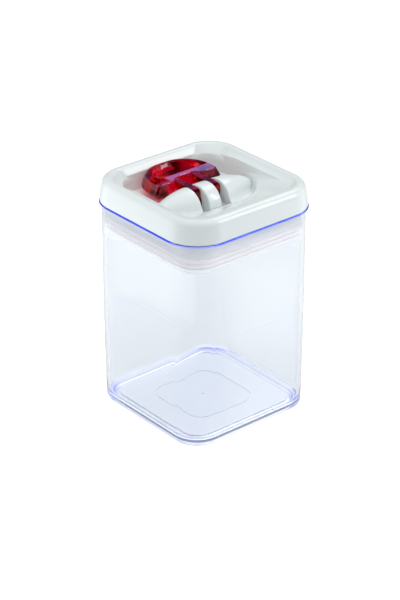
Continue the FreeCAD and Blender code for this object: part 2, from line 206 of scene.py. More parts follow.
class Finish:
    """A material with one Principled shader, and the means to add nodes to it."""

    def __init__(self, name):
        self.material = bpy.data.materials.new(name)
        self.material.use_nodes = True
        self.tree = self.material.node_tree
        self.tree.nodes.clear()
        self.output = self.node("ShaderNodeOutputMaterial", {}, {})
        self.shader = self.node("ShaderNodeBsdfPrincipled", {}, {})
        self.tree.links.new(self.shader.outputs[0], self.output.inputs[0])

    def node(self, kind, settings, values):
        """A node of this kind. Settings are set first, then each socket gets its value or link."""
        made = self.tree.nodes.new(kind)
        for key, setting in settings.items():
            setattr(made, key, setting)
        for key, value in values.items():
            if isinstance(value, Value):
                self.tree.links.new(value.socket, made.inputs[key])
            elif isinstance(value, bpy.types.NodeSocket):
                self.tree.links.new(value, made.inputs[key])
            else:
                made.inputs[key].default_value = value
        return made

    def set(self, **values):
        """Sets or links the shader's own sockets. Underscores stand for spaces."""
        for key, value in values.items():
            socket = self.shader.inputs[key.replace("_", " ")]
            if isinstance(value, Value):
                value = value.socket
            if isinstance(value, bpy.types.NodeSocket):
                self.tree.links.new(value, socket)
            else:
                socket.default_value = value
        return self

    def place(self):
        """The object's own coordinates, in metres."""
        return self.node("ShaderNodeTexCoord", {}, {}).outputs["Object"]

    def place_parts(self):
        """X, Y and Z of the object's own coordinates, in metres."""
        parts = self.node("ShaderNodeSeparateXYZ", {}, {0: self.place()})
        return [Value(self, socket) for socket in parts.outputs]

    def noise(self, scale, detail=2.0):
        """Smooth noise from 0 to 1 over the object's own coordinates."""
        made = self.node("ShaderNodeTexNoise", {}, {"Vector": self.place(), "Scale": scale, "Detail": detail})
        return Value(self, made.outputs[0])

    def attribute(self, name):
        """A number stored on the mesh."""
        return Value(self, self.node("ShaderNodeAttribute", {"attribute_name": name}, {}).outputs["Fac"])

    def band(self, value, low, high):
        """0 below low, 1 above high, smooth between."""
        made = self.node("ShaderNodeMapRange", {"interpolation_type": "SMOOTHSTEP"},
                         {"Value": value, "From Min": low, "From Max": high})
        return Value(self, made.outputs[0])

    def mix(self, amount, first, second):
        """A colour between two, each of them plain or already linked."""
        ends = [end if isinstance(end, bpy.types.NodeSocket) else (*end, 1.0) for end in (first, second)]
        return self.node("ShaderNodeMix", {"data_type": "RGBA"}, {0: amount, 6: ends[0], 7: ends[1]}).outputs[2]

    def light_passes(self, tint):
        """Lets lamps shine through the material with a tint, which a plain glass would block."""
        path = self.node("ShaderNodeLightPath", {}, {})
        through = self.node("ShaderNodeBsdfTransparent", {}, {"Color": (*tint, 1.0)})
        either = self.node("ShaderNodeMixShader", {},
                           {0: path.outputs["Is Shadow Ray"], 1: self.shader.outputs[0], 2: through.outputs[0]})
        self.tree.links.new(either.outputs[0], self.output.inputs[0])
        return self

    def bump(self, height, strength, distance):
        """A normal that follows a height."""
        made = self.node("ShaderNodeBump", {}, {"Height": height, "Strength": strength, "Distance": distance})
        return made.outputs[0]


def shade(base, factor):
    """A colour made lighter or darker."""
    return tuple(min(1.0, channel * factor) for channel in base)


def clear_finish():
    """Clear moulded plastic: faint flow lines, a blue tint with a painted blue glow along its edges, a painted pale
    glow in its foot, standing for light that entered the walls and comes out again, and painted highlight lines along
    two sides of the floor."""
    finish = Finish("clear_moulded_plastic")
    base = tuple(colours().clear)
    blue = tuple(colours().edge)
    edge = finish.attribute("edge_tint")
    flow = finish.noise(9.0, 3.0)
    tint = finish.mix(edge, finish.mix(flow, base, shade(base, 0.985)), shade(blue, 0.7))
    # painted pale glow, strongest in the foot, standing for light that comes out of the walls
    pale = finish.mix(finish.attribute("foot_glow"), BLACK, (0.135, 0.150, 0.200))
    # painted blue glow along the edges and round the rim
    lit = finish.mix(edge, pale, shade(blue, 0.72))
    # painted highlight lines along two sides of the floor
    shine = finish.mix(finish.attribute("line_light"), lit, (0.75, 0.78, 0.85))
    finish.set(Base_Color=tint, Roughness=0.012 + 0.02 * finish.noise(55.0, 3.0),
               IOR=1.49, Transmission_Weight=1.0,
               Emission_Color=shine, Emission_Strength=1.0,
               Normal=finish.bump(finish.noise(38.0, 1.0), 0.02, 0.4 * MM))
    return finish.light_passes((0.97, 0.98, 0.99)).material


def white_finish():
    """Glossy white moulded plastic with a fine orange-peel skin."""
    finish = Finish("glossy_white_plastic")
    base = tuple(colours().white)
    cloud = finish.noise(26.0, 3.0)
    skin = finish.noise(900.0, 2.0)
    return finish.set(Base_Color=finish.mix(cloud, base, shade(base, 0.975)), Roughness=0.20 + 0.09 * cloud,
                      IOR=1.5, Coat_Weight=0.24, Coat_Roughness=0.06,
                      Normal=finish.bump(skin, 0.06, 0.05 * MM)).material


def insert_finish():
    """Satin white plastic of the plug, with a faint even painted glow."""
    finish = Finish("satin_white_plastic")
    base = tuple(colours().insert)
    cloud = finish.noise(40.0, 2.0)
    # the emission is a faint painted glow over the whole plug
    return finish.set(Base_Color=finish.mix(cloud, base, shade(base, 0.96)), Roughness=0.32 + 0.1 * cloud,
                      Emission_Color=(0.95, 0.97, 1.0, 1.0), Emission_Strength=0.17,
                      Normal=finish.bump(finish.noise(700.0), 0.03, 0.05 * MM)).material


def silicone_finish():
    """Soft milky silicone, with a faint even painted glow."""
    finish = Finish("milky_silicone")
    base = tuple(colours().silicone)
    cloud = finish.noise(60.0, 2.0)
    # the emission is a faint painted glow over the whole seal
    return finish.set(Base_Color=finish.mix(cloud, base, shade(base, 0.95)), Roughness=0.45 + 0.1 * cloud,
                      Emission_Color=(1.0, 0.95, 0.98, 1.0), Emission_Strength=0.20,
                      Normal=finish.bump(finish.noise(500.0), 0.03, 0.05 * MM)).material


def plate_finish():
    """Clear plastic of the seal plate, slightly hazy, with a faint even painted glow."""
    finish = Finish("hazy_clear_plastic")
    base = (0.93, 0.94, 0.96)
    cloud = finish.noise(50.0, 2.0)
    # the emission is a faint painted glow over the whole piece
    return finish.set(Base_Color=finish.mix(cloud, base, shade(base, 0.97)), Roughness=0.16 + 0.08 * cloud,
                      Emission_Color=(0.95, 0.97, 1.0, 1.0), Emission_Strength=0.20, Transmission_Weight=0.3,
                      Normal=finish.bump(finish.noise(600.0), 0.05, 0.05 * MM)).material


def red_finish():
    """Deep red transparent plastic. A painted red glow in the wall of the finger hole stands for light gathered there,
    the rim behind the hole and the front tops, the arms' among them, are darkened by painted shade and carry a faint
    painted mauve glow, the outer faces are darkened in spots by painted shade, and the flat top of the front bar
    carries a painted pale lilac reflection. The light it lets through is pink.

    The finger hole is marked by an ellipse: (x / a)^2 + ((y - c) / b)^2 is 1 on its edge. The other marks are bands
    of x, y and z."""
    finish = Finish("clear_red_plastic")
    base = tuple(colours().red)
    x, y, z = finish.place_parts()
    top = sizes().axle + RING_TOP
    hole_half_x, hole_half_y, hole_middle = 18.9 * MM, 16.9 * MM, 23 * MM
    from_middle = y - hole_middle
    spread = x * x * (1 / hole_half_x ** 2) + from_middle * from_middle * (1 / hole_half_y ** 2)
    inside = 1 - finish.band(spread, 1.03, 1.12)
    behind = finish.band(y, 24 * MM, 27 * MM)
    on_top = finish.band(z, top - 0.35 * MM, top - 0.12 * MM)
    cells = finish.noise(75.0, 1.0)
    on_bar = finish.band(y, 14 * MM, 15 * MM) * (1 - finish.band(y, 21.6 * MM, 23 * MM))
    past_left_end = finish.band(x, -15 * MM, -12.5 * MM)
    # painted lilac reflection on the flat top of the front bar
    lilac_reflection = on_top * on_bar * past_left_end * (0.6 + 0.8 * cells)
    # painted red glow in the finger hole's wall, where light gathers in the plastic
    lit = inside * behind * (1 - on_top) * finish.band(cells, 0.42, 0.60)
    # rim behind the hole, near the top: painted shade and a faint painted mauve glow
    rim = (1 - inside) * behind * finish.band(z, top - 1.6 * MM, top - 0.6 * MM)
    # front tops near the top height, the arms' among them: painted shade and a faint painted mauve glow
    arm = (1 - finish.band(y, 17 * MM, 19 * MM)) * finish.band(z, top - 1.6 * MM, top - 1.1 * MM)
    # spots of painted shade on the outer faces, away from the hole and the top
    shade_patches = finish.band(finish.noise(130.0, 1.0), 0.40, 0.60)
    outer = (1 - inside) * (1 - on_top)
    body = finish.mix(shade_patches, shade(base, 0.45), shade(base, 0.05))
    plain = finish.mix(cells, base, shade(base, 0.9))
    # colour darkened by painted shade: to dark mauve on the rim and the front tops, and in spots on the outer faces
    tint = finish.mix(0.8 * rim + 0.8 * arm, finish.mix(outer, plain, body), (0.16, 0.003, 0.045))
    # emitted colour: the painted red glow in the hole wall
    hole_glow = finish.mix(lit, BLACK, (0.19, 0.0, 0.004))
    # plus a faint painted mauve glow on the rim behind the hole and the front tops
    mauve = finish.mix(0.7 * rim + arm, hole_glow, (0.050, 0.016, 0.045))
    # plus the painted lilac reflection on the bar's flat top
    glow = finish.mix(lilac_reflection, mauve, (0.13, 0.12, 0.33))
    finish.set(Base_Color=tint, Roughness=0.004 + 0.012 * cells, IOR=1.50, Transmission_Weight=1.0,
               Specular_Tint=(0.9, 0.65, 0.75, 1.0), Emission_Color=glow, Emission_Strength=1.0,
               Normal=finish.bump(finish.noise(60.0, 1.0), 0.02, 0.1 * MM))
    return finish.light_passes((0.80, 0.22, 0.30)).material


def steel_finish():
    """Ground steel with fine turning marks."""
    finish = Finish("ground_steel")
    base = tuple(colours().steel)
    marks = finish.noise(1500.0, 3.0)
    return finish.set(Base_Color=finish.mix(marks, base, shade(base, 0.8)), Metallic=1.0,
                      Roughness=0.22 + 0.2 * marks, Normal=finish.bump(marks, 0.15, 0.02 * MM)).material


# ---------------------------------------------------------------- surfaces

def outline(half_x, front, back, front_corner, back_corner, flat=0.0):
    """Rectangle with rounded corners, as points that always come in the same order.

    Corner points are centre + radius * (cos a, sin a) over a quarter turn, and side points divide the straight
    between two corners evenly. With flat above 0 the back corners are drawn towards their chords."""
    ends = []
    layout = ((1, front, front_corner, -90, 0), (1, back, back_corner, 0, flat),
              (-1, back, back_corner, 90, flat), (-1, front, front_corner, 180, 0))
    for side, y_edge, radius, start, flatten in layout:
        inward = 1 if y_edge == front else -1
        centre = np.array([side * (half_x - radius), y_edge + inward * radius])
        turn = np.radians(start) + np.linspace(0, pi / 2, CORNER_STEPS + 1)
        arc = centre + radius * np.column_stack([np.cos(turn), np.sin(turn)])
        share = np.linspace(0, 1, CORNER_STEPS + 1)[:, None]
        chord = arc[0] * (1 - share) + arc[-1] * share
        ends.append(arc * (1 - flatten) + chord * flatten)
    parts = []
    share = np.linspace(0, 1, SIDE_STEPS + 1)[1:-1, None]
    for index, arc in enumerate(ends):
        following = ends[(index + 1) % 4][0]
        parts += [arc, arc[-1] * (1 - share) + following * share]
    return np.concatenate(parts)


def square(half, corner):
    """Rounded-square outline centred on the axis."""
    return outline(half, -half, half, corner, corner)


def lift(flat_points, height):
    """Outline points at a height, which is one number or one for each point."""
    return np.column_stack([flat_points, np.broadcast_to(height, len(flat_points))])


def signed_volume(points, quads, caps):
    """Volume inside a closed mesh of quads and many-sided caps: positive when its faces look outwards.

    It is a sixth of the sum of a . (b x c) over the triangles that the faces split into."""
    a, b, c, d = (points[quads[:, k]] for k in range(4))
    total = np.sum(a * np.cross(b, c)) + np.sum(a * np.cross(c, d))
    for cap in caps:
        corners = points[cap]
        total += np.sum(corners[0] * np.cross(corners[1:-1], corners[2:]))
    return total / 6


def grid_faces(rows, columns, loop_rows):
    """Quads between neighbouring rows. Columns always close on themselves, rows only when asked."""
    row = np.arange(rows if loop_rows else rows - 1)[:, None]
    column = np.arange(columns)[None, :]
    after_row = (row + 1) % rows
    after_column = (column + 1) % columns
    quads = np.stack([row * columns + column, row * columns + after_column,
                      after_row * columns + after_column, after_row * columns + column], axis=-1)
    return quads.reshape(-1, 4)


def smooth_shaded(mesh, sharp):
    """Smooth shading, with hard edges where faces meet at more than an angle in degrees."""
    mesh.polygons.foreach_set("use_smooth", np.ones(len(mesh.polygons), bool))
    mesh.set_sharp_from_angle(angle=radians(sharp))


def sheet_of_rings(name, rings, material, loop_rows=False, sharp=40.0):
    """A closed surface through rings: a grid P(i, j) whose rows are outlines, capped at both ends or looped.

    Its faces are turned to look outwards."""
    stack = np.array(rings)
    rows, columns = stack.shape[:2]
    points = stack.reshape(-1, 3)
    quads = grid_faces(rows, columns, loop_rows)
    caps = [] if loop_rows else [np.arange(columns)[::-1], np.arange(columns) + (rows - 1) * columns]
    if signed_volume(points, quads, caps) < 0:
        quads = quads[:, ::-1]
        caps = [cap[::-1] for cap in caps]
    mesh = bpy.data.meshes.new(name)
    mesh.from_pydata(points.tolist(), [], quads.tolist() + [cap.tolist() for cap in caps])
    mesh.validate()
    smooth_shaded(mesh, sharp)
    mesh.materials.append(material)
    made = bpy.data.objects.new(name, mesh)
    bpy.context.scene.collection.objects.link(made)
    return made


def rounded_slab(name, profile, half_width, edge_round, material, centre_x=0.0, sharp=40.0):
    """A profile in the YZ plane carried along X, with its edges rounded.

    Towards each end the profile is moved in along its own normals by r * (1 - cos a) while X runs by r * sin a."""
    closed = np.vstack([profile[-1:], profile, profile[:1]])
    tangent = closed[2:] - closed[:-2]
    tangent /= np.linalg.norm(tangent, axis=1)[:, None]
    normal = np.column_stack([tangent[:, 1], -tangent[:, 0]])
    area = np.sum(profile[:, 0] * np.roll(profile[:, 1], -1) - np.roll(profile[:, 0], -1) * profile[:, 1])
    inward = -normal * np.sign(area)
    left = []
    for turn in pi / 2 - np.linspace(0, pi / 2, EDGE_STEPS + 1):
        x = centre_x - half_width + edge_round * (1 - sin(turn))
        section = profile + inward * edge_round * (1 - cos(turn))
        left.append(np.column_stack([np.full(len(profile), x), section]))
    right = [np.column_stack([2 * centre_x - ring[:, 0], ring[:, 1:]]) for ring in left[::-1]]
    return sheet_of_rings(name, left + right, material, sharp=sharp)


def arc_points(centre, radius, start, stop, steps):
    """Points on a circle in a plane, from one angle in degrees to another."""
    turn = np.radians(np.linspace(start, stop, steps))
    return np.column_stack([centre[0] + radius * np.cos(turn), centre[1] + radius * np.sin(turn)])


def combined(first, others, operation, sharp=38.0):
    """One mesh from several: each of the others joined to the first or cut from it, applied."""
    for other in others:
        step = first.modifiers.new("combine", "BOOLEAN")
        step.operation = operation
        step.solver = "EXACT"
        step.object = other
    bpy.context.view_layer.update()
    evaluated = first.evaluated_get(bpy.context.evaluated_depsgraph_get())
    mesh = bpy.data.meshes.new_from_object(evaluated)
    smooth_shaded(mesh, sharp)
    first.modifiers.clear()
    first.data = mesh
    for other in others:
        bpy.data.objects.remove(other)
    return first


def finished(piece, body, slot, *replaced):
    """Puts a piece on its body and hides the CAD nodes that it stands for."""
    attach(piece, body)
    if replaced:
        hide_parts(*replaced)
    return piece


def smoothstep(value, low, high):
    """0 below low, 1 above high and 3t^2 - 2t^3 between, where t is the share of the way."""
    t = np.clip((value - low) / (high - low), 0, 1)
    return t * t * (3 - 2 * t)


# ---------------------------------------------------------------- container

def container_rings():
    """Rings from the middle of the underside out, up the outside, over the rim and down the inside.

    Each entry is (half width, corner radius, height, edge tint with its painted glow, painted foot glow), and a sixth
    value, the painted highlight line, where there is one. Walls lean evenly from base to mouth, bulging by b * sin(pi
    t), and close rings beside each small step keep the flats between them flat."""
    s = sizes()
    lean = s.wall_lean
    base_half = s.wall_half - lean
    corner = s.wall_corner
    bulge = 0.25 * MM
    recess = 0.8 * MM
    entries = []

    def flat(half, height):
        """A ring on the underside or the floor, of a half width in millimetres."""
        entries.append((half * MM, min(half * MM, 7.5 * MM + 0.16 * half * MM), height, 0, 0.3))

    for half, rise in ((0.3, 0.35), (0.7, 0.3), (1.0, 0.0), (1.3, 0.0), (12, 0.0), (24.0, 0.0), (24.3, 0.0),
                       (24.5, 0.12), (24.9, 0.12), (25.1, 0.0), (25.4, 0.0), (36.0, 0.0), (42.3, 0.0)):
        flat(half, recess + rise * MM)
    entries += [(base_half - 7.4 * MM, corner - 7.0 * MM, recess, 0.0, 0.3),
                (base_half - 7.0 * MM, corner - 6.7 * MM, recess - 0.2 * MM, 0.0, 0.6),
                (base_half - 6.7 * MM, corner - 6.4 * MM, 0.05 * MM, 0.0, 1.0),
                (base_half - 6.4 * MM, corner - 6.1 * MM, 0.0, 0.0, 1.0),
                (base_half - 3.6 * MM, corner - 3.4 * MM, 0.0, 0.0, 1.0)]
    foot = 2.6 * MM
    for turn in np.linspace(0, pi / 2, 9):
        inset = foot * (1 - sin(turn))
        entries.append((base_half - inset, corner - inset, foot * (1 - cos(turn)), sin(2 * turn) ** 4,
                        1.0 - 0.3 * sin(turn)))
    low = s.rim_top - s.rim_thickness
    for share in np.linspace(0, 1, 18)[1:]:
        height = foot + (low - 1.0 * MM - foot) * share ** 1.3
        half = base_half + lean * share + bulge * sin(pi * share)
        entries.append((half, corner, height, 0, 0.7 * (1 - smoothstep(height, foot, 5 * MM))))
    entries += [(s.wall_half + 0.3 * MM, corner + 0.6 * MM, low - 0.25 * MM, 0.0, 0),
                (s.wall_half + 1.0 * MM, corner + 2.0 * MM, low, 0, 0),
                (s.rim_half - 0.8 * MM, s.rim_corner - 0.8 * MM, low, 0, 0)]
    for turn in np.linspace(-pi / 2, pi / 2, 7):
        radius = s.rim_thickness / 2
        entries.append((s.rim_half - radius + radius * cos(turn), s.rim_corner - radius + radius * cos(turn),
                        low + radius + radius * sin(turn), smoothstep(turn, -0.5, 0.0), 0))
    mouth = s.wall_half - s.wall
    inner = corner - s.wall
    entries += [(s.wall_half + 0.6 * MM, corner + 1.4 * MM, s.rim_top, 0.3, 0),
                (mouth + 0.6 * MM, inner + 0.6 * MM, s.rim_top, 0.1, 0),
                (mouth + 0.15 * MM, inner + 0.15 * MM, s.rim_top - 0.2 * MM, 0.0, 0),
                (mouth, inner, s.rim_top - 0.7 * MM, 0, 0)]
    fillet = 4.6 * MM
    floor = s.floor
    high = s.rim_top - 0.7 * MM
    for share in np.linspace(0, 1, 18)[1:]:
        height = high - (high - floor - fillet) * share
        entries.append((mouth - lean * share + bulge * sin(pi * (1 - share)), inner, height, 0, 0))
    for turn in np.linspace(0, pi / 2, 11)[1:]:
        inset = fillet * (1 - cos(turn))
        entries.append((mouth - lean - inset, inner - inset * 0.8, floor + fillet * (1 - sin(turn)),
                        smoothstep(turn, 0.9, 1.2) * (1 - smoothstep(turn, 1.35, 1.57)), 0.02))
    edge = mouth - lean - fillet
    # floor steps, with the painted pale glow and, on two of them, the painted highlight lines
    for inset, rise, glow, line in ((0.3, 0, 0.1, 1), (1.3, 0, 0.17, 0), (1.8, 0, 0.17, 0), (2.1, 0.3, 0.25, 0.4),
                                    (2.4, 0.35, 0.3, 0), (2.8, 0.35, 0.3, 0)):
        entries.append((edge - inset * MM, inner - (3.8 + 0.55 * inset) * MM, floor + rise * MM, 0, glow, line))
    for half in (30, 14, 1.5):
        flat(half, floor + 0.35 * MM)
    return entries


def build_container():
    """Clear box. Its edge tint and painted edge glow are strongest at two corners of the floor and round the rim.
    Painted highlight lines run along two sides of the floor."""
    entries = [entry + (0,) * (6 - len(entry)) for entry in container_rings()]
    rings = [lift(square(half, corner), height) for half, corner, height, *_ in entries]
    piece = sheet_of_rings("container_shell", rings, clear_finish(), sharp=60.0)
    points = np.array(rings)
    away = np.abs(points[:, :, :2])
    # weights of the edge tint and of its painted blue glow, strongest at two floor corners and round the rim
    at_corner = smoothstep(np.minimum(away[:, :, 0], away[:, :, 1]), 30 * MM, 42 * MM)
    beside = points[:, :, 0] * points[:, :, 1] < 0
    in_rim = points[:, :, 2] > sizes().rim_top - 3 * MM
    at_foot = points[:, :, 2] < sizes().floor * 0.7
    foot_tint = 0.3 + at_corner * np.where(beside, 0.5, 0.7)
    inner_tint = 0.05 + at_corner * np.where(beside, 0.95, 0.25)
    tint_share = np.where(in_rim, 1.0 - 0.4 * at_corner, np.where(at_foot, foot_tint, inner_tint))
    # the painted highlight lines only on the two sides that face +Y and -Y
    line_share = smoothstep(away[:, :, 1] - away[:, :, 0], 2 * MM, 9 * MM)
    for name, column, share in (("edge_tint", 3, tint_share), ("foot_glow", 4, np.ones_like(tint_share)),
                                ("line_light", 5, line_share)):
        weights = share * np.array([entry[column] for entry in entries])[:, None]
        layer = piece.data.attributes.new(name, "FLOAT", "POINT")
        layer.data.foreach_set("value", weights.reshape(-1).astype(np.float32))
    return finished(piece, "container", "clear_wall", "container_body")


# ---------------------------------------------------------------- lid

def basin_levels():
    """Outlines of the hollow in the lid, from the crest's inside edge to the lever's opening."""
    s = sizes()
    half = s.basin_half
    mouth = outline(half, -half, half, 15 * MM, 13 * MM, 0.5)
    wall_foot = outline(half - 4.6 * MM, -half + 5.0 * MM, half - 2.5 * MM, 13 * MM, 11.5 * MM, 0.85)
    well_edge = outline(39.6 * MM, -26 * MM, half - 2.8 * MM, 31 * MM, 17 * MM, 0.15)
    well_foot = outline(38.4 * MM, -16 * MM, half - 3.6 * MM, 23 * MM, 16.5 * MM)
    opening = outline(11.2 * MM, -12.9 * MM, 12.9 * MM, 0.6 * MM, 0.6 * MM)
    return mouth, wall_foot, well_edge, well_foot, opening


def cover_rings():
    """Rings of the cover, from its lower edge over the crest, down the basin and the well to the lever's
    opening, and back along the underside."""
    s = sizes()
    rings = []

    def level(half, corner, height):
        """A level rounded square."""
        rings.append(lift(square(half, corner), height))

    base, top = s.lid_base, s.lid_top
    level(s.lid_half - 1.2 * MM, s.lid_corner - 1.2 * MM, base)
    for turn in np.linspace(0, pi / 2, 4):
        inset = 0.5 * MM * (1 - sin(turn))
        level(s.lid_half - inset, s.lid_corner - inset, base + 0.5 * MM * (1 - cos(turn)))
    rise = top - s.crest_round
    for share in np.linspace(0, 1, 8)[1:]:
        inset = s.lid_lean * share ** 1.4
        level(s.lid_half - inset, s.lid_corner - inset, base + 0.5 * MM + (rise - base - 0.5 * MM) * share)
    for turn in np.linspace(0, pi / 2, 12)[1:]:
        inset = s.lid_lean + s.crest_round * (1 - cos(turn))
        level(s.lid_half - inset, s.lid_corner - inset, rise + s.crest_round * sin(turn))
    lip = 1.6 * MM
    mouth, wall_foot, well_edge, well_foot, opening = basin_levels()
    outer_lip = outline(s.basin_half + lip, -s.basin_half - lip, s.basin_half + lip, 16.6 * MM, 14.4 * MM, 0.35)
    roll = 0.8 * MM
    for share in np.linspace(0, 1, 9):
        rings.append(lift(outer_lip * (1 - share) + mouth * share, top - roll * share ** 2))
    deep = smoothstep(wall_foot[:, 1], 14 * MM, 34 * MM)
    foot_height = (top - 2.9 * MM) * (1 - deep) + (top - 4.9 * MM) * deep
    edge_height = top - 8.4 * MM
    for share in np.linspace(0, 1, 13)[1:]:
        flat = mouth * (1 - share) + wall_foot * share
        fall = share * deep + (1 - deep) * (1 - (1 - share) ** 2)
        rings.append(lift(flat, (top - roll) * (1 - fall) + foot_height * fall))
    for share in np.linspace(0, 1, 21)[1:]:
        flat = wall_foot * (1 - share) + well_edge * share
        fall = 0.6 * share ** 1.5 + 0.4 * share
        rings.append(lift(flat, foot_height * (1 - fall) + edge_height * fall))
    for share in np.linspace(0, 1, 15)[1:]:
        flat = well_edge * (1 - share) + well_foot * share
        fall = smoothstep(share, 0, 1) * 0.85 + share * 0.15
        rings.append(lift(flat, edge_height * (1 - fall) + s.axle * fall))
    for share in np.linspace(0, 1, 7)[1:]:
        rings.append(lift(well_foot * (1 - share) + opening * share, s.axle))
    under = s.axle - 2 * MM
    rings.append(lift(opening, under))
    grown_foot = outline(42 * MM, -18 * MM, s.basin_half, 25 * MM, 19.5 * MM)
    grown_edge = outline(44.5 * MM, -28 * MM, s.basin_half + 1.5 * MM, 35 * MM, 21 * MM)
    rings.append(lift(grown_foot, under))
    rings.append(lift(grown_edge, top - 10.8 * MM))
    rings.append(lift(square(s.basin_half + 2 * MM, 17 * MM), top - 3.5 * MM))
    rings.append(lift(square(s.lid_half - 4.8 * MM, s.lid_corner - 4.8 * MM), top - 3.0 * MM))
    rings.append(lift(square(s.lid_half - 2.6 * MM, s.lid_corner - 2.6 * MM), top - 6.0 * MM))
    rings.append(lift(square(s.lid_half - 2.0 * MM, s.lid_corner - 2.0 * MM), base + 1.0 * MM))
    return rings


def hump_section(front, back, height, flare):
    """Section of a hump in (Y, height above the floor): two quarter ellipses of the same height.

    Near the floor each side spreads by f * (1 - h / 2f)^2, where h is the height and f the flare."""
    turn = np.linspace(0, pi / 2, 22)
    rise = height * np.sin(turn)
    spread = flare * np.maximum(0, 1 - rise / (2 * flare)) ** 2
    ahead = np.column_stack([-(front * np.cos(turn) + spread), rise])
    behind = np.column_stack([back * np.cos(turn) + spread, rise])
    return np.vstack([behind, ahead[::-1][1:]])


def build_hump(side, material):
    """Hump beside the lever, as sections along X.

    Over the share t of its length, its height falls as the square of the distance from its near end and ends
    bluntly as the root of 1 - t^10. Its front narrows as (1 - t)^0.62 and its back as an ellipse."""
    s = sizes()
    near, far = 11.2 * MM, 42.4 * MM
    sunk = 1.5 * MM
    edge = 0.8 * MM
    fall = 9.5  # metres of height for each square metre of distance
    rings = []
    tip = smoothstep(np.linspace(0, 1, 30), 0.0, 1.0) ** 0.8
    for share in tip:
        x = near + edge + (far - near - edge) * share
        t = (x - near) / (far - near)
        blunt = sqrt(max(0.0, 1 - t ** 10))
        height = (s.barrel - fall * (x - near) ** 2) * blunt
        front = s.barrel * max(0.0, 1 - t) ** 0.62 + 0.2 * MM
        back = s.barrel * sqrt(max(0.0, 1 - (x / (far + 0.4 * MM)) ** 2))
        section = hump_section(front, back, max(height, 0.4 * MM), 2.2 * MM * (1 - 0.6 * t))
        base = np.array([[section[-1, 0], -sunk], [section[0, 0], -sunk]])
        loop = np.vstack([section, base])
        rings.append(np.column_stack([np.full(len(loop), side * x), loop[:, 0], s.axle + loop[:, 1]]))
    rounded = []
    for turn in np.linspace(pi / 2, 0, 5)[:-1]:
        ring = rings[0].copy()
        shrink = 1 - edge * (1 - cos(turn)) / s.barrel
        ring[:, 0] = side * (near + edge * (1 - sin(turn)))
        above = ring[:, 2] > s.axle
        ring[:, 1] *= shrink
        ring[above, 2] = s.axle + (ring[above, 2] - s.axle) * shrink
        rounded.append(ring)
    return sheet_of_rings("hump", rounded + rings, material, sharp=50.0)


def build_cover():
    """White cover with its two humps, as one moulding."""
    material = white_finish()
    piece = sheet_of_rings("lid_shell", cover_rings(), material, loop_rows=True, sharp=50.0)
    humps = [build_hump(side, material) for side in (-1, 1)]
    piece = combined(piece, humps, "UNION")
    return finished(piece, "lid", "white_shell", "lid_cover")


def band_piece(name, profile, material, sharp=50.0):
    """A ring-like piece: a closed profile of (half width, corner radius, height) carried round the mouth."""
    rings = [lift(square(half, corner), height) for half, corner, height in profile]
    return sheet_of_rings(name, rings, material, loop_rows=True, sharp=sharp)


def build_plug():
    """Plug of the lid: flange over the rim, stepped skirt and floor."""
    s = sizes()
    outer = s.wall_half - s.wall - PLUG_GAP
    corner = s.wall_corner - s.wall - PLUG_GAP
    low = s.seal_top
    flange_inset = 2.4 * MM
    flange, flange_corner = s.lid_half - flange_inset, s.lid_corner - flange_inset
    flange_top = s.lid_base + 1.5 * MM
    opening, opening_corner = 13 * MM, 3 * MM
    floor = low + 1.7 * MM
    chamfer = 1.0 * MM
    waist = 0.5 * MM
    wall = 2 * MM
    steps = [(opening, opening_corner, floor), (opening, opening_corner, low), (outer - chamfer, corner - chamfer, low),
             (outer, corner, low + 0.8 * MM), (outer, corner, low + 2.6 * MM),
             (outer - waist, corner - waist, low + 3.1 * MM), (outer - waist, corner - waist, s.lid_base - 0.8 * MM),
             (outer, corner, s.lid_base), (flange, flange_corner, s.lid_base), (flange, flange_corner, flange_top),
             (outer - wall, corner - wall, flange_top), (outer - wall, corner - wall, floor)]
    piece = band_piece("plug_tray", steps, insert_finish())
    return finished(piece, "lid", "white_insert", "lid_plug")


def build_seal():
    """Soft seal ring with two lips. Its outside swings in and out as a cosine of the height, twice over."""
    s = sizes()
    half = s.wall_half - s.wall - SEAL_GAP
    corner = s.wall_corner - s.wall - SEAL_GAP
    low, high = s.seal_bottom, s.seal_top
    swing = 0.9 * MM
    profile = [(half - SEAL_WIDTH, corner - SEAL_WIDTH, low + 0.4 * MM), (half - 5.0 * MM, corner - 5.0 * MM, low)]
    for share in np.linspace(0, 1, 25):
        dip = swing * (1 + cos(4 * pi * share)) / 2
        profile.append((half - dip, corner - dip, low + (high - low) * share))
    profile += [(half - 5.0 * MM, corner - 5.0 * MM, high), (half - SEAL_WIDTH, corner - SEAL_WIDTH, high - 0.4 * MM)]
    piece = band_piece("seal_lips", profile, silicone_finish())
    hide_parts("seal_ring")
    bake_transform(piece)
    return piece


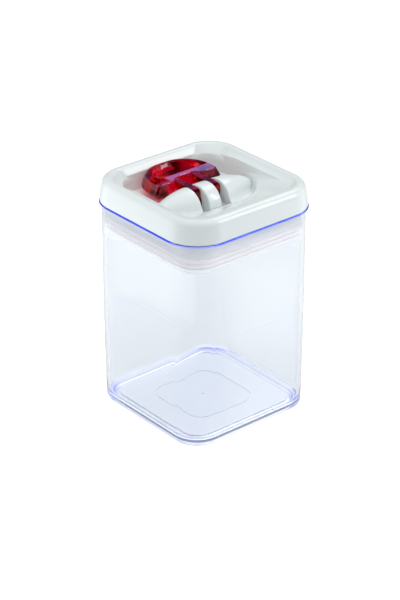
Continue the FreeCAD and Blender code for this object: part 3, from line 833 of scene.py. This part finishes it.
def build_plate():
    """Seal plate: a flat plate with a rounded lower edge, a locating wall inside the seal and a middle boss."""
    s = sizes()
    half = s.wall_half - s.wall - PLATE_GAP
    corner = s.wall_corner - s.wall - PLATE_GAP
    low = s.plate_bottom
    top = low + 3.0 * MM
    rings = [(1.0 * MM, 1.0 * MM, low + 1.4 * MM), (13.6 * MM, 13.6 * MM, low + 1.4 * MM),
             (14.0 * MM, 14.0 * MM, low + 1.0 * MM), (14.0 * MM, 14.0 * MM, low + 0.3 * MM),
             (14.3 * MM, 14.3 * MM, low), (30 * MM, 15 * MM, low)]
    for turn in np.linspace(0, pi / 2, 6):
        inset = 1.2 * MM * (1 - sin(turn))
        rings.append((half - inset, corner - inset, low + 1.2 * MM * (1 - cos(turn))))
    wall_half = half + PLATE_GAP - SEAL_GAP - SEAL_WIDTH - 0.1 * MM
    wall_corner = wall_half - half + corner
    rings += [(half, corner, top - 0.3 * MM), (half - 0.3 * MM, corner - 0.3 * MM, top),
              (wall_half, wall_corner, top), (wall_half, wall_corner, top + 2.7 * MM),
              (wall_half - 0.3 * MM, wall_corner - 0.3 * MM, top + 3.0 * MM),
              (wall_half - 1.3 * MM, wall_corner - 1.3 * MM, top + 3.0 * MM),
              (wall_half - 1.6 * MM, wall_corner - 1.6 * MM, top + 2.7 * MM),
              (wall_half - 1.6 * MM, wall_corner - 1.6 * MM, top), (17.2 * MM, 17.2 * MM, top),
              (17.0 * MM, 17.0 * MM, top + 1.8 * MM), (16.8 * MM, 16.8 * MM, top + 2.0 * MM),
              (1.0 * MM, 1.0 * MM, top + 2.0 * MM)]
    stack = [lift(square(a, b), c) for a, b, c in rings]
    piece = sheet_of_rings("pressure_plate", stack, plate_finish(), sharp=50.0)
    return finished(piece, "draw", "plate_clear", "seal_plate")


# ---------------------------------------------------------------- lever and strap

def strap_profile():
    """Outline of the strap from the side, in the YZ plane: half round over the axle, on two legs."""
    s = sizes()
    low = s.plate_bottom + 5.0 * MM
    crown = arc_points((0, s.axle), s.barrel, 0, 180, 61)
    return np.vstack([crown, [[-s.barrel, low], [s.barrel, low]]])


def build_strap():
    """White strap between the lever's knuckles, hollow round the cam, with a slot for the lever's core."""
    s = sizes()
    material = white_finish()
    strap_half, strap_edge = 4.8 * MM, 0.8 * MM
    hollow_half, through, hair = 3.6 * MM, 6 * MM, 0.01 * MM
    piece = rounded_slab("strap_loop", strap_profile(), strap_half, strap_edge, material, sharp=45.0)
    low = s.plate_bottom + 4.0 * MM
    hollow_foot = low + 6.0 * MM
    feet_top = low + 6.1 * MM
    inner = s.barrel - 3.0 * MM
    flat = inner * 0.64
    hollow = np.array([[-inner, hollow_foot], [-inner, s.axle + flat], [-flat, s.axle + inner],
                       [flat, s.axle + inner], [inner, s.axle + flat], [inner, hollow_foot]])
    feet = s.barrel - 7.0 * MM
    between = np.array([[-feet, low], [-feet, feet_top], [feet, feet_top], [feet, low]])
    slot_half = 3.9 * MM
    slot = np.vstack([arc_points((0, s.axle + 2.5 * MM), slot_half, 0, 180, 25),
                      [[-slot_half, low], [slot_half, low]]])
    cutters = [rounded_slab("cutter", profile, half, hair, material)
               for profile, half in ((hollow, hollow_half), (between, through), (slot, through))]
    piece = combined(piece, cutters, "DIFFERENCE")
    return finished(piece, "draw", "white_shell", "draw_strap")


def ring_surface(material):
    """Finger ring: seven outlines round the loop (foot, belly, shoulder, ridge, hole's edge, waist, hole's foot).

    Each edge B is rounded by a curve from A on one flank to C on the next: (1-t)^2 A + 2t(1-t) B + t^2 C. The
    middle of the front is set back by a depth that fades out to the sides and to the back."""
    s = sizes()
    top = s.axle + RING_TOP
    low = s.axle + 3.1 * MM
    foot = outline(24.6 * MM, 14.2 * MM, 39.6 * MM, 2.4 * MM, 18.5 * MM)
    belly = outline(26.8 * MM, 13.9 * MM, 42.3 * MM, 2.0 * MM, 19.8 * MM)
    shoulder = outline(23.4 * MM, 14.8 * MM, 42.3 * MM, 1.6 * MM, 19.4 * MM)
    ridge = outline(22.3 * MM, 15.2 * MM, 41.3 * MM, 1.6 * MM, 19.0 * MM)
    hole = outline(18.3 * MM, 22.3 * MM, 39.2 * MM, 5.5 * MM, 16.0 * MM)
    waist = outline(17.0 * MM, 23.4 * MM, 37.7 * MM, 5.5 * MM, 15.0 * MM)
    hole_foot = outline(16.4 * MM, 23.9 * MM, 37.0 * MM, 5.5 * MM, 14.5 * MM)
    for flat, depth in ((foot, 3.4 * MM), (belly, 3.7 * MM), (shoulder, 4.0 * MM), (ridge, 4.0 * MM)):
        front = 1 - smoothstep(flat[:, 1], 17 * MM, 21 * MM)
        inside = 1 - smoothstep(np.abs(flat[:, 0]), 5 * MM, 14.5 * MM)
        flat[:, 1] += depth * front * inside
    corners = [(foot, low, 0.6), (belly, low + 3.2 * MM, 0.5), (shoulder, top - 0.6 * MM, 0.3),
               (ridge, top, 0.4), (hole, top, 0.5),
               (waist, top - 3.4 * MM, 1.2), (hole_foot, low, 0.5)]
    rings = []
    for index, (flat, height, radius) in enumerate(corners):
        here = lift(flat, height)
        before = lift(*corners[index - 1][:2])
        after = lift(*corners[(index + 1) % len(corners)][:2])
        back_share = np.minimum(0.3, radius * MM / np.linalg.norm(before - here, axis=1))[:, None]
        ahead_share = np.minimum(0.3, radius * MM / np.linalg.norm(after - here, axis=1))[:, None]
        start = here + (before - here) * back_share
        stop = here + (after - here) * ahead_share
        for t in np.linspace(0, 1, 5):
            rings.append((1 - t) ** 2 * start + 2 * t * (1 - t) * here + t * t * stop)
    return sheet_of_rings("ring", rings, material, loop_rows=True, sharp=30.0)


def arm_profile():
    """Outline of an arm from the side, in the YZ plane: level, then a small chamfer and a steep front."""
    s = sizes()
    front = -3.4 * MM
    top = s.axle + 11.9 * MM
    return np.array([[22 * MM, s.axle + 6.2 * MM], [22 * MM, top - 0.2 * MM], [14 * MM, top], [2 * MM, top],
                     [front + 1.6 * MM, top - 0.3 * MM], [front, top - 1.6 * MM], [front, s.axle],
                     [12.0 * MM, s.axle], [13.2 * MM, s.axle + 4.6 * MM], [16.0 * MM, s.axle + 6.2 * MM]])


def knuckle_profile():
    """Outline of a knuckle from the side: a disc about the axle with a flat front and a flat underside."""
    s = sizes()
    radius = s.barrel - 0.35 * MM
    front = -3.5 * MM
    low = s.axle - KNUCKLE_DROP
    start = np.degrees(np.arcsin(-KNUCKLE_DROP / radius))
    back = arc_points((0, s.axle), radius, start, 75, 30)
    rise = np.array([[1.5 * MM, s.axle + 11.0 * MM], [front + 1.2 * MM, s.axle + 10.7 * MM],
                     [front, s.axle + 9.7 * MM], [front, low]])
    return np.vstack([back, rise])


def build_lever():
    """Red lever: ring, two arms, two knuckles, and the cam on its core between them.

    The cam's radius runs from its low side to its high side and back, straight in the angle between four marks."""
    s = sizes()
    material = red_finish()
    ring = ring_surface(material)
    others = []
    for side in (-1, 1):
        others.append(rounded_slab("arm", arm_profile(), ARM_HALF, 0.45 * MM, material, centre_x=side * ARM_MIDDLE))
        others.append(rounded_slab("knuckle", knuckle_profile(), KNUCKLE_HALF, 0.4 * MM, material,
                                   centre_x=side * KNUCKLE_MIDDLE))
    cam_low = 6.8
    cam_high = 9.25
    turn = np.linspace(0, 360, 73)[:-1]
    rise = np.interp(turn, [0, 90, 180, 230, 360], [cam_low, cam_high, cam_high, cam_low, cam_low]) * MM
    cam = np.column_stack([rise * np.cos(np.radians(turn)), s.axle + rise * np.sin(np.radians(turn))])
    others.append(rounded_slab("cam", cam, 3.3 * MM, 0.2 * MM, material))
    core = arc_points((0, s.axle), 3.55 * MM, 0, 355, 72)
    others.append(rounded_slab("core", core, 5.8 * MM, 0.2 * MM, material))
    piece = combined(ring, others, "UNION", 24.0)
    piece.name = "lever_moulding"
    return finished(piece, "lever", "red_clear", "lever")


# ---------------------------------------------------------------- stage

def soft_box(name, place, aim, width, height, radiance):
    """A rectangular lamp that faces a point and shines evenly: power = radiance * pi * area."""
    lamp = bpy.data.lights.new(name, "AREA")
    lamp.shape = "RECTANGLE"
    lamp.size = width
    lamp.size_y = height
    lamp.energy = radiance * pi * width * height
    made = bpy.data.objects.new(name, lamp)
    bpy.context.scene.collection.objects.link(made)
    made.location = place
    made.rotation_euler = (Vector(aim) - Vector(place)).to_track_quat("-Z", "Y").to_euler()
    made.visible_camera = False
    made.visible_transmission = False
    return made


def build_world():
    """Pale even surroundings that glossy rays don't see."""
    world = bpy.data.worlds.new("studio")
    bpy.context.scene.world = world
    world.use_nodes = True
    background = world.node_tree.nodes["Background"]
    background.inputs[0].default_value = (0.86, 0.97, 1.0, 1.0)
    background.inputs[1].default_value = 0.49
    world.cycles_visibility.glossy = False


def build_table():
    """Pale table: a square plane just under the canister. The camera sees it brighter than it lights the rest."""
    finish = Finish("pale_table")
    base = tuple(colours().table)
    path = finish.node("ShaderNodeLightPath", {}, {})
    seen = Value(finish, path.outputs["Is Camera Ray"])
    finish.set(Base_Color=finish.mix(finish.noise(3.0), base, shade(base, 0.99)), Roughness=0.12,
               Specular_IOR_Level=0.3, Emission_Color=(1.0, 1.0, 1.0, 1.0), Emission_Strength=0.50 * seen)
    half = 8.0
    height = -0.05 * MM
    mesh = bpy.data.meshes.new("table")
    mesh.from_pydata([(-half, -half, height), (half, -half, height), (half, half, height), (-half, half, height)],
                     [], [[0, 1, 2, 3]])
    mesh.materials.append(finish.material)
    table = bpy.data.objects.new("table", mesh)
    bpy.context.scene.collection.objects.link(table)


def build_lamps():
    """Soft boxes at both sides, one high behind, a strip that only shows in highlights, and even light from above
    that shows in none."""
    for name, side, radiance in (("left_box", -1, 1.27), ("right_box", 1, 0.88)):
        soft_box(name, (*(ACROSS_VIEW * side * 0.30), 0.15), (0, 0, 0.15), 0.36, 0.30, radiance)
    soft_box("high_box", (0.57, 0.18, 0.88), (0, 0, 0.10), 0.36, 0.36, 3.4)
    strip = soft_box("strip", (0.462, -0.521, 0.504), (0, 0.03, 0.153), 0.10, 0.52, 9.0)
    strip.visible_diffuse = False
    lamp = bpy.data.lights.new("overhead", "SUN")
    lamp.energy = 1.56
    lamp.angle = radians(80)
    lamp.color = (1.0, 0.95, 0.95)
    overhead = bpy.data.objects.new("overhead", lamp)
    overhead.visible_glossy = False
    overhead.rotation_euler = Euler((radians(14), radians(-6), 0))
    bpy.context.scene.collection.objects.link(overhead)


def build_camera():
    """Long lens, looking down at the canister's front corner."""
    scene = bpy.context.scene
    lens = bpy.data.cameras.new("camera")
    lens.lens = CAMERA_LENS
    lens.sensor_width = 36.0
    lens.clip_start = 0.01
    lens.clip_end = 50.0
    camera = bpy.data.objects.new("camera", lens)
    camera.location = CAMERA_PLACE
    camera.rotation_euler = Euler((radians(90 - CAMERA_TILT), 0, radians(CAMERA_TURN)))
    scene.collection.objects.link(camera)
    scene.camera = camera
    scene.view_settings.view_transform = "Standard"


def build_stage():
    """Table, light and camera."""
    build_world()
    build_table()
    build_lamps()
    build_camera()


# ---------------------------------------------------------------- operators

def paint_hardware():
    """Gives the CAD axle, screws and cap their finishes."""
    steel = steel_finish()
    for node, material in (("lever_axle", steel), ("strap_screws", steel), ("screw_cap", plate_finish())):
        thing = frame["nodes"][node]
        thing.data.materials.clear()
        thing.data.materials.append(material)


class CANISTER_OT_container(bpy.types.Operator):
    """Builds the clear container"""
    bl_idname = "canister.container"
    bl_label = "Container"

    def execute(self, context):
        build_container()
        return {"FINISHED"}


class CANISTER_OT_cover(bpy.types.Operator):
    """Builds the white cover with its humps"""
    bl_idname = "canister.cover"
    bl_label = "Lid cover"

    def execute(self, context):
        build_cover()
        return {"FINISHED"}


class CANISTER_OT_plug(bpy.types.Operator):
    """Builds the plug"""
    bl_idname = "canister.plug"
    bl_label = "Lid plug"

    def execute(self, context):
        build_plug()
        return {"FINISHED"}


class CANISTER_OT_seal(bpy.types.Operator):
    """Builds the seal ring"""
    bl_idname = "canister.seal"
    bl_label = "Seal"

    def execute(self, context):
        build_seal()
        return {"FINISHED"}


class CANISTER_OT_plate(bpy.types.Operator):
    """Builds the seal plate"""
    bl_idname = "canister.plate"
    bl_label = "Seal plate"

    def execute(self, context):
        build_plate()
        return {"FINISHED"}


class CANISTER_OT_strap(bpy.types.Operator):
    """Builds the strap"""
    bl_idname = "canister.strap"
    bl_label = "Strap"

    def execute(self, context):
        build_strap()
        return {"FINISHED"}


class CANISTER_OT_lever(bpy.types.Operator):
    """Builds the lever"""
    bl_idname = "canister.lever"
    bl_label = "Lever"

    def execute(self, context):
        build_lever()
        return {"FINISHED"}


class CANISTER_OT_hardware(bpy.types.Operator):
    """Paints the axle, screws and cap"""
    bl_idname = "canister.hardware"
    bl_label = "Hardware"

    def execute(self, context):
        paint_hardware()
        return {"FINISHED"}


class CANISTER_OT_stage(bpy.types.Operator):
    """Builds table, light and camera"""
    bl_idname = "canister.stage"
    bl_label = "Stage"

    def execute(self, context):
        build_stage()
        return {"FINISHED"}


OPERATORS = [CANISTER_OT_container, CANISTER_OT_cover, CANISTER_OT_plug, CANISTER_OT_seal,
             CANISTER_OT_plate, CANISTER_OT_strap, CANISTER_OT_lever, CANISTER_OT_hardware,
             CANISTER_OT_stage]


class CANISTER_PT_pieces(bpy.types.Panel):
    """Buttons for the canister's pieces, with its sizes and colours."""
    bl_label = "Canister"
    bl_space_type = "VIEW_3D"
    bl_region_type = "UI"
    bl_category = "Canister"

    def draw(self, context):
        for made in OPERATORS:
            self.layout.operator(made.bl_idname)
        scene = context.scene
        for kind, group in ((CanisterSizes, scene.canister_sizes), (CanisterColours, scene.canister_colours)):
            box = self.layout.box()
            for name in kind.__annotations__:
                box.prop(group, name)


CLASSES = [CanisterSizes, CanisterColours, *OPERATORS, CANISTER_PT_pieces]


def register():
    """Registers the classes and puts the sizes and colours on the scene."""
    for made in CLASSES:
        bpy.utils.register_class(made)
    bpy.types.Scene.canister_sizes = PointerProperty(type=CanisterSizes)
    bpy.types.Scene.canister_colours = PointerProperty(type=CanisterColours)


def unregister():
    """Takes away what register added."""
    del bpy.types.Scene.canister_sizes
    del bpy.types.Scene.canister_colours
    for made in reversed(CLASSES):
        bpy.utils.unregister_class(made)


def main():
    register()
    for made in OPERATORS:
        group, name = made.bl_idname.split(".")
        getattr(getattr(bpy.ops, group), name)()


if __name__ == "__main__":
    main()
